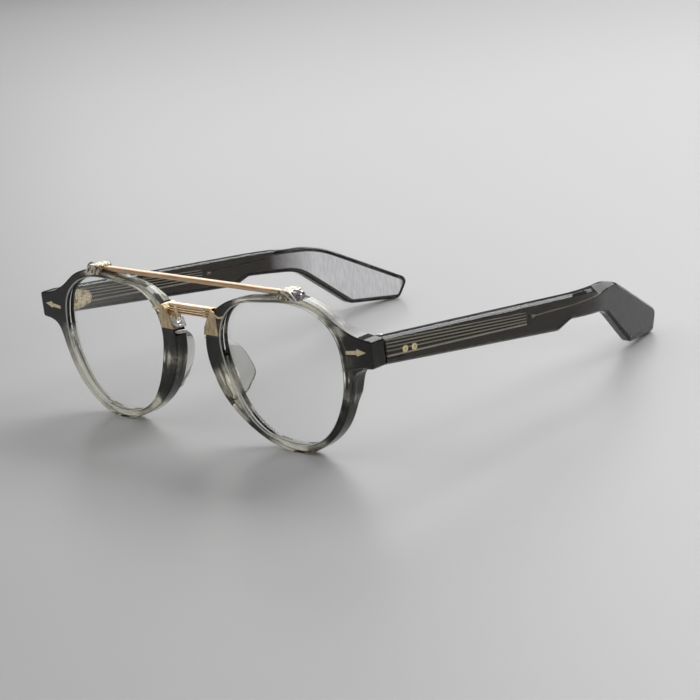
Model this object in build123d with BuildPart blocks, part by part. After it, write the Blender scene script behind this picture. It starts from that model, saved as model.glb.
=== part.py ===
from build123d import *
from math import cos, hypot, radians, sin
import os

os.makedirs("parts", exist_ok=True)

# Double bridge glasses, in millimetres. The front faces -Y, +Z is up and the open temples run
# back along +Y. The rims stand on the floor, z = 0. The wearer's left is +X.

# The whole object
lens_width = 47.3
lens_height = 40.7
lens_gap = 25.5
overall_depth = 142.0
wrap_angle = 1.9
overrun = 1.0

# Acetate rims, with their widths measured outwards from the lens
rim_nose = 6.25
rim_temple = 3.45
rim_foot = 2.5
rim_brow = 2.4
rim_thickness = 4.2
rim_bevel = 0.4
opening_bevel = 0.25
foot_flat = 0.12
endpiece_reach = 8.5
endpiece_drop = 10.0
endpiece_height = 7.7
endpiece_corner = 0.8
endpiece_depth = 5.2
endpiece_lap = 1.7
endpiece_root = 1.6
seam_gap = 0.06

# Lenses, bent to a sphere and held in a groove
lens_thickness = 1.5
lens_curve = 180.0
lens_bulge = 0.1
lens_bite = 0.5
groove_front = 0.9
groove_width = 2.4

# Bridge
bridge_lap = 2.8
bridge_height = 3.3
bridge_depth = 2.4
bridge_front = 1.4
bridge_rise = 0.4
bridge_groove = 0.25
bridge_collar_length = 1.7
bridge_collar_lip = 0.3

# Shoes that hold the bridge on the rims' noses
shoe_proud = 0.35
shoe_bite = 0.5
shoe_back_proud = 0.45
shoe_drop = 6.9
shoe_height = 7.6
shoe_wrap = 5.9
shoe_toe_length = 3.6
shoe_toe_drop = 1.6
shoe_toe_height = 1.0
shoe_groove = 0.3
shoe_groove_count = 3
shoe_groove_spacing = 1.15
shoe_screw_radius = 0.5
shoe_screw_head_radius = 0.95
shoe_screw_head = 0.45
shoe_screw_proud = 0.25
shoe_screw_length = 2.8

# Top bar and its brackets
bar_grip = 1.2
bar_height = 1.4
bar_depth = 1.8
bar_middle_depth = 3.5
bar_drop = 0.4
bracket_offset = 2.6
bracket_length = 4.6
bracket_grip = 1.3
bracket_rise = 1.5
bracket_proud = 0.35
bracket_bite = 0.5
bracket_edge = 0.3
bracket_groove = 0.45
bracket_groove_spacing = 1.3
bracket_groove_count = 2
bracket_groove_depth = 0.3
bracket_groove_tilt = 35.0
bar_pin_radius = 0.45
bar_pin_sink = 0.15
bar_pin_inset = 0.65
cap_screw_radius = 0.5
cap_screw_head_radius = 1.3
cap_screw_head = 1.8
cap_screw_dome = 0.8
cap_screw_length = 2.4

# Nose pads
pad_under_shoe = 1.5
pad_drop = 17.6
pad_reach = 7.0
pad_inset = 0.25
pad_splay = 5.6
pad_base = 4.9
pad_tip_lag = 0.62
pad_tip_width = 1.7
pad_tip_radius = 0.8
pad_seat = 0.8

# Arrow inlays on the endpieces
inlay_lap = 1.2
inlay_rise = 3.2
inlay_length = 7.5
inlay_height = 2.1
inlay_thickness = 0.6
inlay_proud = 0.12

# Hinges, with five knuckles on an upright pin
hinge_back = 3.6
hinge_inset = 1.7
hinge_rise = 0.5
hinge_height = 6.0
knuckle_radius = 1.4
knuckle_count = 5
knuckle_gap = 0.06
pin_radius = 0.7
pin_play = 0.05
pin_head_radius = 1.15
pin_head = 0.45
pin_tail = 0.2
hinge_plate_inner = 2.6
hinge_plate_outer = 1.3
hinge_plate_sink = 0.6
hinge_plate_proud = 0.3
hinge_arm_outer = 0.7
anchor_width = 1.6
anchor_length = 2.6
anchor_height = 3.0

# Shields on the temples' inner faces and their rivets
shield_length = 9.4
shield_thickness = 0.7
shield_proud = 0.2
shield_front = 1.2
rivet_radius = 0.55
rivet_head_radius = 1.03
rivet_head = 0.4
rivet_proud = 0.12
rivet_first_back = 7.4
rivet_second_back = 10.9
rivet_first_rise = 2.02
rivet_second_rise = 1.65

# Temples
temple_thickness = 3.8
temple_edge = 0.1
temple_bevel = 0.8
temple_inner_bevel = 0.5
facing_share = 0.8
ear_bend_start = 75.0
ear_bend_radius = 61.0
ear_bend_angle = 18.0
temple_end_corner = 2.3
temple_heel_corner = 3.0
temple_ear_corner = 12.0
temple_crown_corner = 30.0

# Wire cores inside the temples
core_sink = 1.5
core_thickness = 0.8
core_flute = 0.25
core_flute_height = 0.3
core_flute_count = 3
core_end_gap = 0.6

# Places worked out from the dimensions
wrap = radians(wrap_angle)
nasal_u = lens_gap / 2 - rim_nose
temporal_u = lens_gap / 2 + lens_width + rim_temple
rim_width = temporal_u - nasal_u
rim_height = rim_foot + lens_height + rim_brow
endpiece_u = temporal_u + endpiece_reach
endpiece_foot = rim_height - endpiece_drop - endpiece_height
endpiece_step = temporal_u - endpiece_lap
lens_middle_u = (lens_gap + lens_width) / 2
lens_middle_z = rim_foot + lens_height / 2
front_y = shoe_proud - overall_depth / 2 - nasal_u * sin(wrap)
tail_y = overall_depth / 2
seam_y = front_y + endpiece_u * sin(wrap) + endpiece_depth * cos(wrap)
temple_y = seam_y + seam_gap
temple_length = tail_y - temple_y
temple_x = endpiece_u * cos(wrap) - endpiece_depth * sin(wrap) + temple_edge
temple_inner_x = temple_x - temple_thickness
temple_top = endpiece_foot + endpiece_height
shoe_top = rim_height - shoe_drop
shoe_foot = shoe_top - shoe_height
shoe_reach = nasal_u + shoe_wrap
shoe_depth = shoe_proud + rim_thickness + shoe_back_proud
shoe_toe_reach = shoe_reach + shoe_toe_length
shoe_toe_foot = shoe_top - shoe_toe_drop - shoe_toe_height
bridge_half = nasal_u + bridge_lap
bridge_top = shoe_top + bridge_rise
bracket_inner = lens_middle_u + bracket_offset
bracket_foot = rim_height - bracket_grip
bracket_top = rim_height + bracket_rise
bracket_depth = rim_thickness + bracket_proud * 2
bar_half = bracket_inner + bar_grip
bar_foot = rim_height - bar_drop
pad_top = shoe_foot - pad_under_shoe
pad_nasal = nasal_u + pad_inset
inlay_start = temporal_u - inlay_lap
inlay_foot = endpiece_foot + inlay_rise
hinge_foot = endpiece_foot + hinge_rise
rivet_first_height = hinge_foot + rivet_first_rise
rivet_second_height = hinge_foot + rivet_second_rise
hinge_x = temple_inner_x - hinge_inset
hinge_y = seam_y + hinge_back
hinge_top = hinge_foot + hinge_height
knuckle_height = (hinge_height - (knuckle_count - 1) * knuckle_gap) / knuckle_count
knuckle_pitch = knuckle_height + knuckle_gap

rim_plane = Plane((0, front_y, 0), x_dir=(cos(wrap), sin(wrap), 0), z_dir=(sin(wrap), -cos(wrap), 0))
rim_back = rim_plane.offset(-rim_thickness)
seam_plane = Plane.XZ.offset(-seam_y)

# The lens opening's edge, as shares of the lens's width and height from its middle
opening_shares = [
    (0.500, 0.120), (0.462, 0.305), (0.355, 0.425), (0.175, 0.494), (0.000, 0.498),
    (-0.130, 0.486), (-0.262, 0.470), (-0.385, 0.412), (-0.470, 0.300), (-0.500, 0.150),
    (-0.478, 0.000), (-0.412, -0.205), (-0.312, -0.366), (-0.165, -0.468), (0.000, -0.500),
    (0.172, -0.482), (0.330, -0.380), (0.430, -0.225), (0.488, -0.050),
]

# The rim's edge from the endpiece over the brow, the nose and the foot to the endpiece again,
# as shares of the rim's width from its nasal side and of its height from its foot
rim_shares = [
    (0.979, 0.828), (0.909, 0.875), (0.840, 0.932), (0.746, 0.978), (0.649, 1.000),
    (0.535, 0.991), (0.412, 0.971), (0.307, 0.954), (0.202, 0.921), (0.118, 0.871),
    (0.054, 0.807), (0.018, 0.726), (0.000, 0.614), (0.007, 0.520), (0.033, 0.423),
    (0.074, 0.322), (0.132, 0.235), (0.225, 0.143), (0.346, 0.061), (0.465, 0.013),
    (0.579, 0.000), (0.689, 0.031), (0.796, 0.105), (0.888, 0.211), (0.947, 0.333),
    (0.984, 0.452), (1.000, 0.513),
]

# The endpiece's edges, as shares of its reach from the rim and of its height from its foot
endpiece_top_shares = [(0.67, 1.03), (0.29, 1.11)]
endpiece_foot_shares = [(0.13, -0.31), (0.34, -0.13), (0.67, -0.03)]

# An arrow inlay, as shares of its length from its tail and of its height from its foot
inlay_shares = [
    (0.00, 0.05), (0.52, 0.20), (0.57, 0.00), (1.00, 0.62), (0.57, 1.00), (0.52, 0.72), (0.00, 0.52),
]

# The bridge's front grooves, as shares of its height from its foot
bridge_groove_shares = [0.18, 0.38, 0.58]

# A nose pad's levels: shares of its drop from the top, of its reach behind the rim, of its splay
# and of its base width
pad_shares = [
    (0.00, 0.10, 0.00, 0.60), (0.12, 0.56, 0.01, 0.86), (0.26, 0.83, 0.05, 1.00),
    (0.46, 0.98, 0.21, 1.00), (0.64, 1.00, 0.44, 0.96), (0.79, 0.77, 0.63, 0.86),
    (0.90, 0.54, 0.80, 0.74), (1.00, 0.12, 1.00, 0.50),
]

# A temple seen from the side, as shares of its length from the seam and of its top's height
temple_foot_shares = [(0.000, 0.781), (0.524, 0.510), (0.571, 0.563)]
temple_ear_shares = (0.711, 0.489)
temple_heel_shares = (0.838, 0.062)
temple_end_shares = [(0.972, 0.000), (1.000, 0.180)]
temple_crown_shares = (0.768, 0.690)

# A core seen from the side, as the same shares: its plate, its arrowhead and the ends of its wire
core_plate_shares = [(0.004, 0.839), (0.423, 0.668), (0.423, 0.772), (0.004, 0.974)]
core_arrow_shares = [(0.438, 0.690), (0.459, 0.716), (0.438, 0.745)]
core_wire_shares = [(0.40, 0.712), (0.44, 0.715), (0.53, 0.691), (0.60, 0.677), (0.66, 0.670), (0.70, 0.648)]
core_wire_height = 0.6

# A shield on a temple, as shares of its length and of the hinge's height
shield_shares = [
    (0.00, 0.00), (0.55, -0.10), (0.90, 0.02), (1.00, 0.35), (0.90, 0.66), (0.50, 0.90), (0.00, 1.00),
]


def spread(shares, corner, size):
    """Places shares of a size from a corner."""
    return [(corner[0] + u * size[0], corner[1] + v * size[1]) for u, v in shares]


def outward(points, i):
    """The direction that looks out of a closed, left-turning outline at one of its points."""
    before = points[i - 1]
    after = points[(i + 1) % len(points)]
    du, dv = after[0] - before[0], after[1] - before[1]
    return dv / hypot(du, dv), -du / hypot(du, dv)


def grown(points, amount):
    """Moves the points of a closed, left-turning outline outwards by one amount."""
    moved = []
    for i, (u, v) in enumerate(points):
        out = outward(points, i)
        moved.append((u + amount * out[0], v + amount * out[1]))
    return moved


opening = spread(opening_shares, (lens_middle_u, lens_middle_z), (lens_width, lens_height))
rim_edge = spread(rim_shares, (nasal_u, -foot_flat), (rim_width, rim_height + foot_flat))
endpiece_start = (temporal_u, endpiece_foot)
endpiece_size = (endpiece_reach, endpiece_height)
endpiece_upper = spread(endpiece_top_shares, endpiece_start, endpiece_size)
endpiece_lower = spread(endpiece_foot_shares, endpiece_start, endpiece_size)
rim_outline = endpiece_upper + rim_edge + endpiece_lower
outer_corners = [(endpiece_u, endpiece_foot), (endpiece_u, endpiece_foot + endpiece_height)]


def opening_face(amount):
    """The lens opening's face, grown by an amount."""
    with BuildSketch(mode=Mode.PRIVATE) as face:
        with BuildLine():
            Spline(*grown(opening, amount), periodic=True)
        make_face()
    return face.sketch


def rim_face(amount):
    """The rim's face with its endpiece, grown by an amount."""
    outline = grown(rim_outline + outer_corners, amount)
    with BuildSketch(mode=Mode.PRIVATE) as face:
        with BuildLine():
            edge = Spline(*outline[:len(rim_outline)])
            Polyline(edge @ 1, *outline[len(rim_outline):], edge @ 0)
        make_face()
        for corner in outline[len(rim_outline):]:
            fillet(face.vertices().sort_by_distance((*corner, 0))[0], endpiece_corner)
    return face.sketch


def bevelled_slab(face_of, edge_growth):
    """A face's slab as thick as the rim, with its front and back edges bevelled."""
    levels = [(0, edge_growth), (rim_bevel, 0), (rim_thickness - rim_bevel, 0), (rim_thickness, edge_growth)]
    with BuildPart() as slab:
        for (front, front_growth), (back, back_growth) in zip(levels, levels[1:]):
            with BuildSketch(rim_plane.offset(-front)):
                add(face_of(front_growth))
            with BuildSketch(rim_plane.offset(-back)):
                add(face_of(back_growth))
            loft(ruled=True)
    return slab.part


def side_face(shares):
    """A straight-sided face seen from the temple's side."""
    with BuildSketch(mode=Mode.PRIVATE) as face:
        with BuildLine():
            Polyline(*spread(shares, (temple_y, 0), (temple_length, temple_top)), close=True)
        make_face()
    return face.sketch


def plan_face(sink, thickness):
    """A band seen from above that follows the temple's outer face at some depth inside it."""
    start_x = temple_x - sink
    bend = ear_bend_radius - sink
    with BuildSketch(mode=Mode.PRIVATE) as face:
        with BuildLine():
            outer = Line((start_x, temple_y), (start_x, temple_y + ear_bend_start))
            outer_bend = JernArc(outer @ 1, outer % 1, bend, ear_bend_angle)
            outer_tail = Line(outer_bend @ 1, outer_bend @ 1 + (outer_bend % 1) * ear_bend_radius)
            inner = Line((start_x - thickness, temple_y), (start_x - thickness, temple_y + ear_bend_start))
            inner_bend = JernArc(inner @ 1, inner % 1, bend - thickness, ear_bend_angle)
            inner_tail = Line(inner_bend @ 1, inner_bend @ 1 + (inner_bend % 1) * ear_bend_radius)
            Line(outer @ 0, inner @ 0)
            Line(outer_tail @ 1, inner_tail @ 1)
        make_face()
    return face.sketch


def write(piece, name):
    """Labels a piece and writes it to its own file."""
    piece.label = name
    export_step(piece, "parts/" + name + ".step")


def write_pair(piece, name):
    """Writes the wearer's left piece and its mirror image for the right."""
    write(piece, "left_" + name)
    with BuildPart() as twin:
        mirror(piece, about=Plane.YZ)
    write(twin.part, "right_" + name)


# Lens: a thin shell of a sphere, cut to the opening's shape
with BuildPart() as lens:
    with BuildSketch(rim_plane.offset(lens_bulge + overrun)):
        add(opening_face(lens_bite))
    extrude(amount=-rim_thickness - overrun)
    with Locations(rim_plane * Location((lens_middle_u, lens_middle_z, lens_bulge - lens_curve))):
        Sphere(lens_curve, mode=Mode.INTERSECT)
        Sphere(lens_curve - lens_thickness, mode=Mode.SUBTRACT)

# Bridge shoe: a cap over the rim's nose, with a fluted front and a toe to the lens opening
with BuildPart() as bridge_shoe:
    with BuildSketch(rim_plane.offset(shoe_proud)):
        add(rim_face(shoe_proud))
        with BuildLine():
            Polyline(
                (0, shoe_foot), (shoe_reach, shoe_foot), (shoe_reach, shoe_toe_foot),
                (shoe_toe_reach, shoe_toe_foot), (shoe_toe_reach, shoe_toe_foot + shoe_toe_height),
                (shoe_reach, shoe_toe_foot + shoe_toe_height), (shoe_reach, shoe_top), (0, shoe_top),
                close=True,
            )
        make_face(mode=Mode.INTERSECT)
    extrude(amount=-shoe_depth)
    with BuildSketch(rim_plane.offset(-shoe_bite)):
        add(rim_face(-shoe_bite))
    extrude(amount=-shoe_depth, mode=Mode.SUBTRACT)
    with BuildSketch(rim_plane.offset(shoe_proud)):
        add(opening_face(0))
    extrude(amount=-shoe_depth, mode=Mode.SUBTRACT)
    with BuildSketch(rim_plane.offset(shoe_proud)):
        groove_u = shoe_reach - shoe_groove_spacing * (shoe_groove_count + 1) / 2
        with Locations((groove_u, (shoe_foot + shoe_top) / 2)):
            with GridLocations(shoe_groove_spacing, 0, shoe_groove_count, 1):
                Rectangle(shoe_groove, shoe_top - shoe_foot)
    extrude(amount=-shoe_groove, mode=Mode.SUBTRACT)

# Shoe screw, square to the nose wall at mid depth
screw_point = rim_shares.index((0.018, 0.726))
screw_out = outward(rim_edge, screw_point)
screw_u = rim_edge[screw_point][0] + screw_out[0] * (shoe_proud + shoe_screw_proud)
screw_v = rim_edge[screw_point][1] + screw_out[1] * (shoe_proud + shoe_screw_proud)
screw_origin = rim_plane.from_local_coords(Vector(screw_u, screw_v, -shoe_depth / 2))
screw_axis = rim_plane.x_dir * screw_out[0] + rim_plane.y_dir * screw_out[1]
screw_plane = Plane(origin=screw_origin, x_dir=rim_plane.z_dir, z_dir=screw_axis)
with BuildPart() as shoe_screw:
    with BuildSketch(screw_plane):
        Circle(shoe_screw_head_radius)
    extrude(amount=-shoe_screw_head)
    with BuildSketch(screw_plane):
        Circle(shoe_screw_radius)
    extrude(amount=-shoe_screw_length)
    with BuildSketch(screw_plane):
        Rectangle(shoe_screw_head_radius * 2, shoe_screw_proud)
    extrude(amount=-shoe_screw_proud / 2, mode=Mode.SUBTRACT)
with BuildPart() as finished_shoe:
    add(bridge_shoe.part)
    add(shoe_screw.part, mode=Mode.SUBTRACT)

# Arrow inlay, let into the front of the endpiece
with BuildPart() as inlay:
    with BuildSketch(rim_plane.offset(inlay_proud)):
        with BuildLine():
            inlay_edge = spread(inlay_shares, (inlay_start, inlay_foot), (inlay_length, inlay_height))
            Polyline(*inlay_edge, close=True)
        make_face()
    extrude(amount=-inlay_thickness)

# Bracket: a saddle over the rim's top edge that holds the top bar's end
bracket_middle = (bracket_inner + bracket_length / 2, (bracket_foot + bracket_top) / 2)
with BuildPart() as bracket_block:
    with BuildSketch(rim_plane.offset(bracket_proud)):
        with Locations(bracket_middle):
            Rectangle(bracket_length, bracket_top - bracket_foot)
    extrude(amount=-bracket_depth)
    chamfer(bracket_block.edges().filter_by(Axis((0, 0, 0), tuple(rim_plane.z_dir))), bracket_edge)
    with BuildSketch(rim_plane.offset(-bracket_bite)):
        add(rim_face(-bracket_bite))
    extrude(amount=-bracket_depth, mode=Mode.SUBTRACT)
    with BuildSketch(rim_plane.offset(bracket_proud)):
        with Locations(Location(bracket_middle + (0,), (0, 0, bracket_groove_tilt))):
            with GridLocations(bracket_groove_spacing, 0, bracket_groove_count, 1):
                Rectangle(bracket_groove, bracket_length)
    extrude(amount=-bracket_groove_depth, mode=Mode.SUBTRACT)

# Top bar, from bracket to bracket
with BuildPart() as top_bar:
    with BuildSketch(Plane((0, front_y + bar_middle_depth, bar_foot + bar_height / 2))):
        Rectangle(bar_half * 2, bar_depth)
    extrude(amount=bar_height / 2, both=True)

# Pin that holds the bar's end in its bracket, sunk in its hole
bar_pin_at = (bracket_inner + bar_pin_inset, bar_foot + bar_height / 2)
with BuildPart() as bar_pin:
    with BuildSketch(rim_plane.offset(bracket_proud - bar_pin_sink)):
        with Locations(bar_pin_at):
            Circle(bar_pin_radius)
    extrude(amount=-bracket_depth + bar_pin_sink)

with BuildPart() as drilled_bar:
    add(top_bar.part)
    add(bar_pin.part, mode=Mode.SUBTRACT)
    split(bisect_by=Plane.YZ, keep=Keep.TOP)
    mirror(about=Plane.YZ)

# Cap screw along the bar's line, with its domed head against the bracket's outer end
bar_middle = (front_y + bar_middle_depth, bar_foot + bar_height / 2)
cap_plane = Plane((bracket_inner + bracket_length, *bar_middle), z_dir=(1, 0, 0))
with BuildPart() as cap_screw:
    with BuildSketch(cap_plane):
        Circle(cap_screw_head_radius)
    extrude(amount=cap_screw_head)
    fillet(cap_screw.faces().sort_by(Axis.X)[-1].edges(), cap_screw_dome)
    with BuildSketch(cap_plane):
        Circle(cap_screw_radius)
    extrude(amount=-cap_screw_length)

with BuildPart() as bracket:
    add(bracket_block.part)
    add(top_bar.part, mode=Mode.SUBTRACT)
    add(cap_screw.part, mode=Mode.SUBTRACT)
    with BuildSketch(rim_plane.offset(bracket_proud)):
        with Locations(bar_pin_at):
            Circle(bar_pin_radius)
    extrude(amount=-bracket_depth, mode=Mode.SUBTRACT)

# Hinge: the front half's plate and outer knuckles, anchored in the endpiece
front_levels = [hinge_foot + knuckle_pitch * i for i in range(0, knuckle_count, 2)]
temple_levels = [hinge_foot + knuckle_pitch * i for i in range(1, knuckle_count, 2)]
with BuildPart() as front_hinge:
    for level in front_levels:
        with BuildSketch(Plane.XY.offset(level)):
            with Locations((hinge_x, hinge_y)):
                Circle(knuckle_radius)
            with BuildLine():
                Polyline(
                    (hinge_x - knuckle_radius, hinge_y), (hinge_x - knuckle_radius, seam_y),
                    (hinge_x + hinge_arm_outer, seam_y), (hinge_x + hinge_arm_outer, hinge_y), close=True,
                )
            make_face()
        extrude(amount=knuckle_height)
    with BuildSketch(Plane.XY.offset(hinge_foot)):
        with BuildLine():
            Polyline(
                (hinge_x - hinge_plate_inner, seam_y + hinge_plate_proud),
                (hinge_x - hinge_plate_inner, seam_y - hinge_plate_sink),
                (hinge_x + hinge_plate_outer, seam_y - hinge_plate_sink),
                (hinge_x + hinge_plate_outer, seam_y + hinge_plate_proud), close=True,
            )
        make_face()
    extrude(amount=hinge_height)
    with BuildSketch(Plane.XZ.offset(hinge_plate_sink - seam_y)):
        with Locations((hinge_x, hinge_foot + hinge_height / 2)):
            Rectangle(anchor_width, anchor_height)
    extrude(amount=anchor_length)

# Hinge pin: headed above the top knuckle, tight in the front's knuckles and free in the temple's
with BuildPart() as hinge_pin:
    with BuildSketch(Plane.XY.offset(hinge_foot - pin_tail)):
        with Locations((hinge_x, hinge_y)):
            Circle(pin_radius)
    extrude(amount=hinge_height + pin_tail)
    with BuildSketch(Plane.XY.offset(hinge_top)):
        with Locations((hinge_x, hinge_y)):
            Circle(pin_head_radius)
    extrude(amount=pin_head)

with BuildPart() as front_half:
    add(front_hinge.part)
    add(hinge_pin.part, mode=Mode.SUBTRACT)

# Rivets through the temple and its shield, with flat heads let into the outer face
rivets = []
for back, height in [(rivet_first_back, rivet_first_height), (rivet_second_back, rivet_second_height)]:
    head_plane = Plane((temple_x + rivet_proud, temple_y + back, height), z_dir=(1, 0, 0))
    with BuildPart() as rivet:
        with BuildSketch(head_plane):
            Circle(rivet_head_radius)
        extrude(amount=-rivet_head)
        with BuildSketch(head_plane):
            Circle(rivet_radius)
        extrude(amount=-temple_thickness - rivet_proud - shield_proud)
    rivets.append(rivet.part)

# Shield: the hinge's temple half, a plate let into the inner face with two knuckles
shield_x = temple_inner_x - shield_proud
shield_start = hinge_y - shield_front
with BuildPart() as shield:
    with BuildSketch(Plane.YZ.offset(shield_x)):
        with BuildLine():
            shield_edge = spread(shield_shares, (shield_start, hinge_foot), (shield_length, hinge_height))
            Polyline(*shield_edge, close=True)
        make_face()
    extrude(amount=shield_thickness)
    for level in temple_levels:
        with BuildSketch(Plane.XY.offset(level)):
            with Locations((hinge_x, hinge_y)):
                Circle(knuckle_radius)
            with BuildLine():
                Polyline(
                    (hinge_x, hinge_y - shield_front), (shield_x, hinge_y - shield_front),
                    (shield_x, hinge_y + knuckle_radius), (hinge_x, hinge_y + knuckle_radius), close=True,
                )
            make_face()
        extrude(amount=knuckle_height)
    with BuildSketch(Plane.XY.offset(hinge_foot)):
        with Locations((hinge_x, hinge_y)):
            Circle(pin_radius + pin_play)
    extrude(amount=hinge_height, mode=Mode.SUBTRACT)
    for rivet_part in rivets:
        add(rivet_part, mode=Mode.SUBTRACT)

# Core: a fluted plate, an arrowhead and a wire, bent with the temple
core_reach = temple_x
with BuildPart() as core:
    with BuildSketch(Plane.YZ):
        add(side_face(core_plate_shares))
        add(side_face(core_arrow_shares))
    extrude(amount=core_reach)
    wire_points = spread(core_wire_shares, (temple_y, 0), (temple_length, temple_top))
    with BuildSketch(Plane.YZ):
        with BuildLine():
            Polyline(
                *[(y, z + core_wire_height / 2) for y, z in wire_points],
                *[(y, z - core_wire_height / 2) for y, z in reversed(wire_points)], close=True,
            )
        make_face()
    extrude(amount=core_reach)
    with BuildSketch():
        add(plan_face(core_sink, core_thickness))
    extrude(amount=temple_top, mode=Mode.INTERSECT)
    near_low, far_low, far_high, near_high = spread(
        core_plate_shares, (temple_y, 0), (temple_length, temple_top))
    for i in range(1, core_flute_count + 1):
        share = i / (core_flute_count + 1)
        near_z = near_low[1] + (near_high[1] - near_low[1]) * share
        far_z = far_low[1] + (far_high[1] - far_low[1]) * share
        with BuildSketch(Plane.YZ.offset(temple_x - core_sink)):
            with BuildLine():
                Polyline(
                    (near_low[0] + core_end_gap, near_z), (far_low[0] - core_end_gap, far_z),
                    (far_low[0] - core_end_gap, far_z + core_flute_height),
                    (near_low[0] + core_end_gap, near_z + core_flute_height), close=True,
                )
            make_face()
        extrude(amount=-core_flute, mode=Mode.SUBTRACT)
    for rivet_part in rivets:
        add(rivet_part, mode=Mode.SUBTRACT)

# Temple: the side view's outline cut through the bent band, with its long edges bevelled
temple_corners = [
    (temple_foot_shares[1], temple_end_corner), (temple_foot_shares[2], temple_heel_corner),
    (temple_ear_shares, temple_ear_corner), (temple_heel_shares, temple_heel_corner),
    (temple_end_shares[0], temple_end_corner), (temple_end_shares[1], temple_end_corner),
    (temple_crown_shares, temple_crown_corner),
]
with BuildPart() as temple:
    with BuildSketch(Plane.YZ) as temple_side:
        add(side_face([temple_foot_shares[0], *[at for at, radius in temple_corners], (0.0, 1.0)]))
        for at, radius in temple_corners:
            y, z = spread([at], (temple_y, 0), (temple_length, temple_top))[0]
            fillet(temple_side.vertices().sort_by_distance((y, z, 0))[0], radius)
    extrude(amount=temple_x + overrun)
    with BuildSketch():
        add(plan_face(0, temple_thickness))
    extrude(amount=temple_top + overrun, mode=Mode.INTERSECT)
    for side, bevel in [(1, temple_bevel), (-1, temple_inner_bevel)]:
        faces = temple.faces().filter_by(lambda face: face.normal_at().X * side > facing_share)
        edges = [edge for face in faces for edge in face.edges()]
        rims = [
            edge for edge in edges
            if edge.center().Y > temple_y + overrun and sum(edge.is_same(other) for other in edges) == 1
        ]
        chamfer(rims, bevel)
    for piece in [core.part, shield.part, *rivets]:
        add(piece, mode=Mode.SUBTRACT)

# Nose pad: lofted level by level and cut flat where it meets the rim's back
with BuildPart() as nose_pad:
    for drop, reach, splay, base in pad_shares:
        nasal = pad_nasal + pad_splay * splay
        depth = pad_reach * reach
        points = [
            (nasal, rim_thickness - pad_seat),
            (nasal + pad_tip_lag * depth, rim_thickness + depth),
            (nasal + pad_tip_lag * depth + pad_tip_width * base, rim_thickness + depth),
            (nasal + pad_base * base, rim_thickness - pad_seat),
        ]
        places = [rim_plane.from_local_coords(Vector(u, 0, -back)) for u, back in points]
        with BuildSketch(Plane.XY.offset(pad_top - pad_drop * drop)) as level:
            with BuildLine():
                Polyline(*[(place.X, place.Y) for place in places], close=True)
            make_face()
            for place in places[1:3]:
                fillet(level.vertices().sort_by_distance((place.X, place.Y, 0))[0], pad_tip_radius * reach)
    loft()
    split(bisect_by=rim_back, keep=Keep.BOTTOM)

# Bridge: a grooved bar with a collar at each end, seated on the two shoes
bridge_middle = bridge_top - bridge_height / 2
with BuildPart() as bridge:
    with BuildSketch(Plane.XZ.offset(-front_y - bridge_front)):
        with Locations((0, bridge_middle)):
            Rectangle(bridge_half * 2, bridge_height)
    extrude(amount=-bridge_depth)
    with BuildSketch(Plane.XZ.offset(bridge_collar_lip - front_y - bridge_front)):
        for side in (-1, 1):
            with Locations((side * (bridge_half - bridge_collar_length / 2), bridge_middle)):
                Rectangle(bridge_collar_length, bridge_height + bridge_collar_lip * 2)
    extrude(amount=-bridge_depth - bridge_collar_lip * 2)
    with BuildSketch(Plane.XZ.offset(-front_y - bridge_front)):
        for share in bridge_groove_shares:
            with Locations((0, bridge_top - bridge_height + bridge_height * share)):
                Rectangle((bridge_half - bridge_collar_length) * 2, bridge_groove)
    extrude(amount=-bridge_groove, mode=Mode.SUBTRACT)
    with BuildSketch(rim_plane.offset(shoe_proud)):
        add(rim_face(shoe_proud))
    extrude(amount=-shoe_depth, mode=Mode.SUBTRACT)
    split(bisect_by=Plane.YZ, keep=Keep.TOP)
    mirror(about=Plane.YZ)

# Rim: a bevelled slab with the deeper endpiece behind its outer end, opened and grooved for the
# lens and recessed for its metal
rim_slab = bevelled_slab(rim_face, -rim_bevel)
opening_slab = bevelled_slab(opening_face, opening_bevel)
with BuildPart() as rim:
    add(rim_slab)
    with BuildSketch(rim_plane.offset(-rim_bevel)):
        add(rim_face(0))
        with Locations((endpiece_step, endpiece_foot - endpiece_root)):
            Rectangle(endpiece_reach * 2, rim_height, align=(Align.MIN, Align.MIN), mode=Mode.INTERSECT)
    extrude(amount=-endpiece_depth)
    split(bisect_by=seam_plane, keep=Keep.TOP)
    add(opening_slab, mode=Mode.SUBTRACT)
    with BuildSketch(rim_plane.offset(-groove_front)):
        add(opening_face(lens_bite))
    extrude(amount=-groove_width, mode=Mode.SUBTRACT)
    split(bisect_by=Plane.XY, keep=Keep.TOP)
    for piece in [finished_shoe, shoe_screw, inlay, bracket, drilled_bar, bar_pin, cap_screw, front_hinge]:
        add(piece.part, mode=Mode.SUBTRACT)

write_pair(rim.part, "rim")
write_pair(nose_pad.part, "nose_pad")
write(bridge.part, "bridge")
write_pair(lens.part, "lens")
write_pair(finished_shoe.part, "bridge_shoe")
write_pair(shoe_screw.part, "shoe_screw")
write_pair(inlay.part, "inlay")
write_pair(bracket.part, "bracket")
write(drilled_bar.part, "top_bar")
write_pair(bar_pin.part, "bar_pin")
write_pair(cap_screw.part, "cap_screw")
write_pair(front_half.part, "front_hinge")
write_pair(hinge_pin.part, "hinge_pin")
write_pair(shield.part, "shield")
write_pair(rivets[0], "front_rivet")
write_pair(rivets[1], "back_rivet")
write_pair(core.part, "core")
write_pair(temple.part, "temple")
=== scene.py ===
import math

import bmesh
import bpy
import numpy as np
from mathutils import Matrix, Vector


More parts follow.
